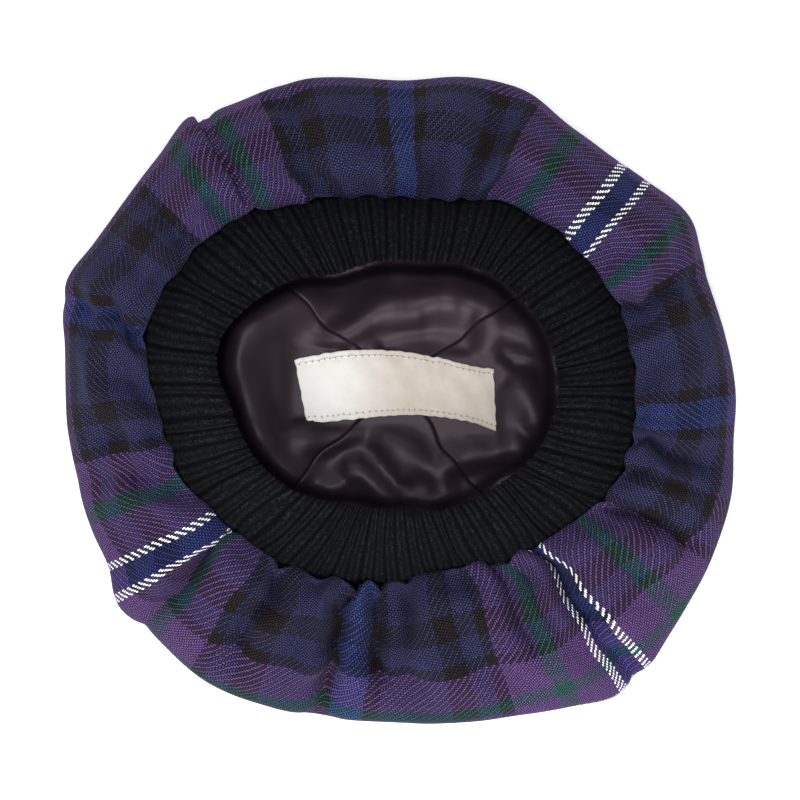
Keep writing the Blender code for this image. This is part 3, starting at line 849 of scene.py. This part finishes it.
# Section of the lining. Columns: reach from the tip to the band's foot, rise from the floor to the
# foot, share of a fold's height
LINING_SECTION = (
    (0.00, 0.10, 1.00), (0.16, 0.10, 1.00), (0.32, 0.10, 1.00), (0.48, 0.09, 1.00), (0.62, 0.08, 1.00),
    (0.74, 0.05, 0.90), (0.84, 0.04, 0.60), (0.94, 0.10, 0.30), (1.03, 0.30, 0.15), (1.06, 0.55, 0.08),
    (1.04, 0.80, 0.03), (1.00, 1.00, 0.00),
)

# Folds of the lining, each a straight ridge or valley. Columns: x and y of one end, x and y of the
# other, height (a valley is negative), half width, all in millimetres
LINING_FOLDS = (
    (-66, 24, -61, -14, 5.0, 15.0),
    (-42, 42, -66, 29, 8.0, 7.5), (-66, 29, -70, 14, 9.5, 7.5), (-70, 14, -60, -12, 9.5, 7.0),
    (-60, -12, -46, -33, 8.0, 6.5), (-57, 18, -48, -22, -5.0, 4.5), (-50, 16, -38, -18, 3.2, 5.0),
    (-44, 8, -38, -6, -3.0, 3.0), (-41, 20, -24, 27, 3.0, 3.5), (-24, 27, -6, 40, 4.5, 5.5),
    (-6, 40, 20, 43, 4.5, 6.5), (20, 43, 36, 40, 3.0, 7.5), (-20, 27, 8, 35, 2.2, 4.0),
    (-32, 20, -8, 25, -4.0, 4.5), (-8, 26, 10, 28, -3.5, 4.5), (16, 28, 26, 26, -3.0, 5.5),
    (38, 32, 54, 28, 3.0, 8.0), (44, 17, 60, 13, -3.0, 5.5), (52, 8, 58, -10, 3.4, 6.0),
    (44, 4, 46, -14, 1.6, 4.5), (22, -27, 50, -22, 3.2, 5.0), (26, -33, 44, -28, -2.5, 4.0),
    (2, -20, 18, -34, 2.2, 6.0), (-18, -28, -30, -38, 3.6, 4.5), (-18, -28, -4, -44, 3.2, 4.5),
    (-20, -22, -14, -24, -3.0, 4.5), (-30, -27, -24, -32, -2.6, 3.5), (-38, -18, -22, -14, 2.4, 6.0),
    (-6, -18, 2, -32, 1.8, 5.5), (10, -46, 30, -42, 2.4, 5.5), (-30, 48, -10, 54, -2.5, 6.0),
)

# Quarters. Columns: name of the solid that each replaces, its two seams as bearings from the tip
LINING_PANELS = (
    ("lining_panel_right", -55, 34), ("lining_panel_back", 34, 141),
    ("lining_panel_left", 141, 226), ("lining_panel_front", 226, 305),
)


def fold_height(x, y, folds):
    """Sum of the folds at a place: each is a bell across its line, whose ends fade like the bell."""
    total = np.zeros_like(x)
    for x0, y0, x1, y1, height, half_width in folds:
        length = math.hypot(x1 - x0, y1 - y0)
        along = ((x - x0) * (x1 - x0) + (y - y0) * (y1 - y0)) / length
        across = ((x - x0) * (y1 - y0) - (y - y0) * (x1 - x0)) / length
        past = np.maximum(np.maximum(-along, along - length), 0.0)
        total += height * np.exp(-(across ** 2 + past ** 2) / half_width ** 2)
    return total


def label_clearance(x, y):
    """Millimetres outside the label's footprint, under which the stitching holds the lining flat."""
    turn = math.radians(LABEL_TURN)
    along = np.abs((x - LABEL_CENTRE[0]) * math.cos(turn) + (y - LABEL_CENTRE[1]) * math.sin(turn))
    across = np.abs((y - LABEL_CENTRE[1]) * math.cos(turn) - (x - LABEL_CENTRE[0]) * math.sin(turn))
    return np.maximum(np.maximum(along - LABEL_LENGTH / 2, across - LABEL_WIDTH / 2), 0.0)


def seam_wander(number, from_tip):
    """Millimetres by which a lining seam strays sideways between the tip and the band's foot."""
    stray = 1.1 * np.sin(from_tip / 8.0 + 1.7 * number) + 0.5 * np.sin(from_tip / 3.1 + number)
    return stray * smooth_step(from_tip / 20.0) * smooth_step((72.0 - from_tip) / 12.0)


def seam_distance(bearing, from_tip):
    """Millimetres from the nearest of the four wandering lining seams."""
    nearest = np.full(np.shape(bearing + from_tip), 1000.0)
    for number, (_, seam, _) in enumerate(LINING_PANELS):
        away = np.radians(np.mod(bearing - seam + 180.0, 360.0) - 180.0) * from_tip
        nearest = np.minimum(nearest, np.abs(away - seam_wander(number, from_tip)))
    return nearest


def lining_drape():
    """How far the settled lining lies from its smooth floor, on a square grid about the tip. The
    satin is longer than the floor, less so along the seams and not under the label, so it buckles
    from the folds it starts with until every thread has its length."""
    square = np.linspace(-DRAPE_REACH, DRAPE_REACH, DRAPE_COUNT)
    away_x, away_y = np.meshgrid(square, square, indexing="ij")
    from_tip = np.hypot(away_x, away_y)
    bearing = np.degrees(np.arctan2(away_y, away_x))
    x = away_x + LINING_TIP[0] * 1000.0
    y = away_y + LINING_TIP[1] * 1000.0
    to_seam = seam_distance(bearing, from_tip)
    free = smooth_step(label_clearance(x, y) / LABEL_FREEING) * smooth_step(
        (DRAPE_FREE_REACH - from_tip) / DRAPE_EDGE)
    start = np.stack([x, y, 1.5 * fold_height(x, y, LINING_FOLDS) * free], axis=-1) * 0.001
    luck = np.random.default_rng(21)
    bumps = luck.normal(0.0, 1.0, (DRAPE_COUNT // 4, DRAPE_COUNT // 4))
    finer = cubic_weights(DRAPE_COUNT // 4, DRAPE_COUNT, False)
    start[..., 2] += 0.0003 * (finer @ bumps @ finer.T) * free
    spare = LINING_SPARE * free * (1.0 - 0.7 * np.exp(-(to_seam / 3.0) ** 2))
    pitch = 0.002 * DRAPE_REACH / (DRAPE_COUNT - 1)
    groups = thread_pairs(DRAPE_COUNT, DRAPE_COUNT, False, pitch * (1.0 + spare[:-1]),
                          pitch * (1.0 + spare[:, :-1]), 0.6)
    flat = np.stack([x, y, 0 * x], axis=-1) * 0.001
    goal = np.where((free > 0.5)[..., None], start, flat)
    hold = 0.4 * (1.0 - free) + 0.02 * free
    weight = np.array([0.0, 0.0, -DRAPE_WEIGHT])
    lowest = np.array([-1.0, -1.0, -DRAPE_ROOM])
    settled = settle(start, groups, np.ones_like(x), goal, hold, lambda points: weight + 0 * points,
                     lambda points: np.maximum(points, lowest), DRAPE_ROUNDS)
    finer = cubic_weights(DRAPE_COUNT, 4 * DRAPE_COUNT, False)
    return np.einsum("ai,bj,ijk->abk", finer, finer, settled - flat, optimize=True)


def panel_columns(first_seam, second_seam):
    """Number of grid columns between two seams."""
    return round((second_seam - first_seam) / LINING_PITCH)


def lining_faces():
    """Lower and upper face of the lining: rays from the tip out to the band's foot, which follow the
    section and carry the settled folds. The seams run along rays and pull in as narrow grooves, and
    under the band's free edge the satin sinks into a trough, deeper on the far side of the hat."""
    reach, rise, share = along_rows(LINING_SECTION, LINING_STATIONS)
    tip = np.array([*LINING_TIP, 0.0])
    round_hat = np.arange(0.0, 720.0, 0.25) - 360.0
    foot_radius = BAND_SEAM_RADIUS * around(BAND_OUTLINE, 1, round_hat) - 0.5 * (BAND_THICKNESS - LINING_WALL)
    outline = polar_points(foot_radius, 0.0, round_hat)
    bearings = np.degrees(np.unwrap(np.arctan2(outline[:, 1] - tip[1], outline[:, 0] - tip[0])))
    bearings -= 360.0 * round((bearings[0] - round_hat[0]) / 360.0)
    columns = np.concatenate([
        np.linspace(first, second, panel_columns(first, second), endpoint=False)
        for _, first, second in LINING_PANELS])
    foot = np.stack([np.interp(columns, bearings, outline[:, axis]) for axis in range(3)], axis=-1)
    points = tip + (foot[:, None] - tip) * reach[None, :, None]
    outward = points[..., :2] - tip[:2]
    from_tip = np.linalg.norm(outward, axis=-1) * 1000.0
    sideways = np.stack([-outward[..., 1], outward[..., 0]], axis=-1) / np.maximum(from_tip, 1.0)[..., None]
    for number, (_, seam, _) in enumerate(LINING_PANELS):
        beside = np.exp(-((np.mod(columns - seam + 180.0, 360.0) - 180.0) / 10.0) ** 2)[:, None]
        points[..., :2] += sideways * (beside * seam_wander(number, from_tip))[..., None]
    drape = lining_drape()
    cells = drape.shape[0] - 1
    place = ((points[..., :2] - tip[:2]) * 1000.0 / (2.0 * DRAPE_REACH) + 0.5) * cells
    place = np.clip(place, 0.0, cells - 1e-6)
    cell = place.astype(int)
    part = place - cell
    folds = np.zeros_like(points)
    for right in (0, 1):
        for up in (0, 1):
            amount = np.abs(1 - right - part[..., 0]) * np.abs(1 - up - part[..., 1])
            folds += amount[..., None] * drape[cell[..., 0] + right, cell[..., 1] + up]
    outward = points[..., :2] - tip[:2]
    bearing = np.degrees(np.arctan2(outward[..., 1], outward[..., 0]))
    to_seam = seam_distance(bearing, from_tip)
    own = np.degrees(np.arctan2(points[..., 1], points[..., 0]))
    lip = np.linalg.norm(points[..., :2], axis=-1) - MOUTH_RADIUS * around(BAND_OUTLINE, 2, own)
    away = 1.0 - smooth_step((np.abs(np.mod(own - 130.0 + 180.0, 360.0) - 180.0) - 60.0) / 50.0)
    pull = SEAM_PULL * np.exp(-(to_seam / SEAM_HALF_WIDTH) ** 2)
    trough = smooth_step((lip + 0.003) / 0.005) * (1.0 - smooth_step((lip - 0.012) / 0.014))
    pull += (TROUGH_DEPTH + FAR_TROUGH_DEPTH * away) * trough
    points[..., 2] = LINING_FLOOR_HEIGHT + LINING_DEPTH * rise[None, :] - pull
    points += folds * share[None, :, None]
    normals = ring_normals(points)
    normals[:, 0] = (0.0, 0.0, 1.0)
    return points, points + normals * LINING_WALL


def polyester_satin():
    """Satin lining: long smooth floats of filament yarn, so the folds carry broad soft lights on a
    nearly black brown, with a fine grain across them."""
    material, tree, shader = new_material("polyester_satin")
    place = add_node(tree, "ShaderNodeTexCoord").outputs["Object"]
    tone = math_nodes(tree)("MULTIPLY", noise_at(tree, place, 40.0, 3.0, 0.5), 0.6)
    fill_inputs(tree, shader, {
        "Base Color": mix_colours(tree, tone, linear("#221b20"), linear("#33292f")),
        "Normal": bumped(tree, noise_at(tree, place, 900.0, 2.0, 0.6), 0.08, 0.0003),
        "Roughness": 0.40, "Specular IOR Level": 0.27, "Specular Tint": linear("#f0dfe8")})
    return material


satin = polyester_satin()
lining_lower, lining_upper = lining_faces()
lining_loop = round_wall(lining_upper, lining_lower)
first_column = 0
for panel_name, first_seam, second_seam in LINING_PANELS:
    last_column = first_column + panel_columns(first_seam, second_seam)
    panel_loop = lining_loop[np.arange(first_column, last_column + 1) % len(lining_loop)]
    first_column = last_column
    panel = wall_mesh(panel_name.replace("panel", "satin"), panel_loop, panel_loop[..., :2] * 1000.0,
                      False, satin)
    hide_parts(panel_name)
    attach(panel, "root")


# Label
# A woven cream label, cut from tape, laid across the middle of the lining and stitched down along
# its two long edges. Its face is plain.

LABEL_WALL = 0.0005
LABEL_LIFT = 0.0003
LABEL_COLUMNS = 160
LABEL_ROWS = 48
LABEL_DIP_WIDTH = 0.10
LEFT_END_SLOPE = 5.0
RIGHT_END_SLOPE = 1.2
STITCH_INSET = 2.3
STITCH_LENGTH = 2.5

# Edges of the label from above. Columns: share along it, x, upper edge, lower edge, rise of its
# middle line, all in millimetres
LABEL_EDGES = (
    (0.00, -44.4, 16.9, -9.2, 0.6), (0.10, -35.0, 19.0, -9.2, 2.2), (0.20, -27.0, 20.4, -8.4, 2.6),
    (0.33, -14.5, 21.2, -7.2, 1.6), (0.52, 1.0, 20.4, -6.3, 1.8), (0.72, 18.0, 17.4, -7.6, 0.8),
    (0.86, 30.0, 14.4, -9.8, 1.6), (1.00, 39.4, 13.1, -13.4, 0.8),
)


def label_surface():
    """The label's face in millimetres, between an upper and a lower edge curve: a slow wave along it,
    dipped by the stitching at its edges, with slightly uneven cut edges and a few soft creases."""
    share = np.linspace(0.0, 1.0, LABEL_COLUMNS + 1)
    knots, *columns = np.array(LABEL_EDGES).T
    x, upper, lower, wave = (smooth_curve(knots, column, share)[:, None] for column in columns)
    share = share[:, None]
    across = np.linspace(0.0, 1.0, LABEL_ROWS + 1)[None, :]
    y = lower + (upper - lower) * across
    x = x + (1.0 - across) * (LEFT_END_SLOPE * (1.0 - share) + RIGHT_END_SLOPE * share)
    middle = np.sin(math.pi * across)
    at_edge = np.exp(-(np.minimum(across, 1.0 - across) / LABEL_DIP_WIDTH) ** 2)
    z = wave * (0.45 + 0.55 * middle) * (1.0 - 0.4 * at_edge)
    half_turn = share * 180.0
    y = y + 0.12 * (2.0 * across - 1.0) * ripple(half_turn + 180.0 * (across > 0.5), 8, 44, 31)
    x = x + 0.10 * (2.0 * share - 1.0) * ripple(across * 60.0, 12, 44, 32)
    z = z + 0.22 * at_edge * ripple(half_turn, 12, 60, 33)
    z = z + 0.30 * middle * ripple(half_turn + 25.0 * across, 5, 14, 34)
    return x, y, z


def woven_tape():
    """Cream woven tape: a fine plain weave and a row of lock stitches inside each long edge, whose needle
    holes show as dark dots of painted shade between short raised stitches."""
    material, tree, shader = new_material("woven_tape")
    math_node = math_nodes(tree)
    uv, along, across = cloth_place(tree)
    from_middle = math_node("ABSOLUTE", math_node("SUBTRACT", across, LABEL_WIDTH / 2))
    to_row = math_node("ABSOLUTE", math_node("SUBTRACT", from_middle, LABEL_WIDTH / 2 - STITCH_INSET))
    row = math_node("POWER", math.exp(-9.0), math_node("POWER", to_row, 2.0))
    place = math_node("FRACT", math_node("DIVIDE", along, STITCH_LENGTH))
    hole = math_node("LESS_THAN", math_node("ABSOLUTE", math_node("SUBTRACT", place, 0.5)), 0.13)
    stitch = math_node("MULTIPLY", row, math_node("SUBTRACT", 1.0, hole))
    weave = math_node("MULTIPLY", math_node("SINE", math_node("MULTIPLY", along, 15.0)),
                      math_node("SINE", math_node("MULTIPLY", across, 15.0)))
    slub = math_node("SUBTRACT", noise_at(tree, uv, 0.12, 3.0, 0.6), 0.5)
    # Painted shade: the cream darkens to tan from 8 to 44 mm along the label, where the band shades it; slub
    # adds uneven tone
    painted_shade_along = add_node(tree, "ShaderNodeMapRange", {
        "Value": along, "From Min": 8.0, "From Max": 44.0, "To Max": 0.8}, interpolation_type="SMOOTHSTEP")
    shade_and_slub = math_node("ADD", painted_shade_along.outputs[0], math_node("MULTIPLY", slub, 0.5))
    cream = mix_colours(tree, shade_and_slub, linear("#fdfaf5"), linear("#cbbdb0"))
    # Painted shade: the needle holes are darkened as dots of shade
    hole_shade = math_node("MULTIPLY", math_node("MULTIPLY", row, hole), 0.75)
    raised = math_node("ADD", math_node("MULTIPLY", weave, 0.12), math_node("MULTIPLY", stitch, 0.9))
    fill_inputs(tree, shader, {
        "Base Color": mix_colours(tree, hole_shade, cream, linear("#5d5048")),
        "Normal": bumped(tree, raised, 0.6, 0.0004),
        "Roughness": 0.85, "Specular IOR Level": 0.2})
    return material


label_x, label_y, label_rise = label_surface()
label_floor = LINING_FLOOR_HEIGHT + LINING_SECTION[0][1] * LINING_DEPTH + LINING_WALL + LABEL_LIFT
label_lower = np.stack([label_x, label_y, label_rise + 1000.0 * label_floor], axis=-1) * 0.001
label_upper = label_lower + np.array([0.0, 0.0, LABEL_WALL])
label_uv = np.stack(np.broadcast_arrays(
    np.linspace(0.0, LABEL_LENGTH, LABEL_COLUMNS + 1)[:, None],
    np.linspace(0.0, LABEL_WIDTH, LABEL_ROWS + 1)[None, :]), axis=-1)
label = wall_mesh("woven_label", round_wall(label_lower, label_upper), round_wall(label_uv, label_uv),
                  False, woven_tape())
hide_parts("label")
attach(label, "root")
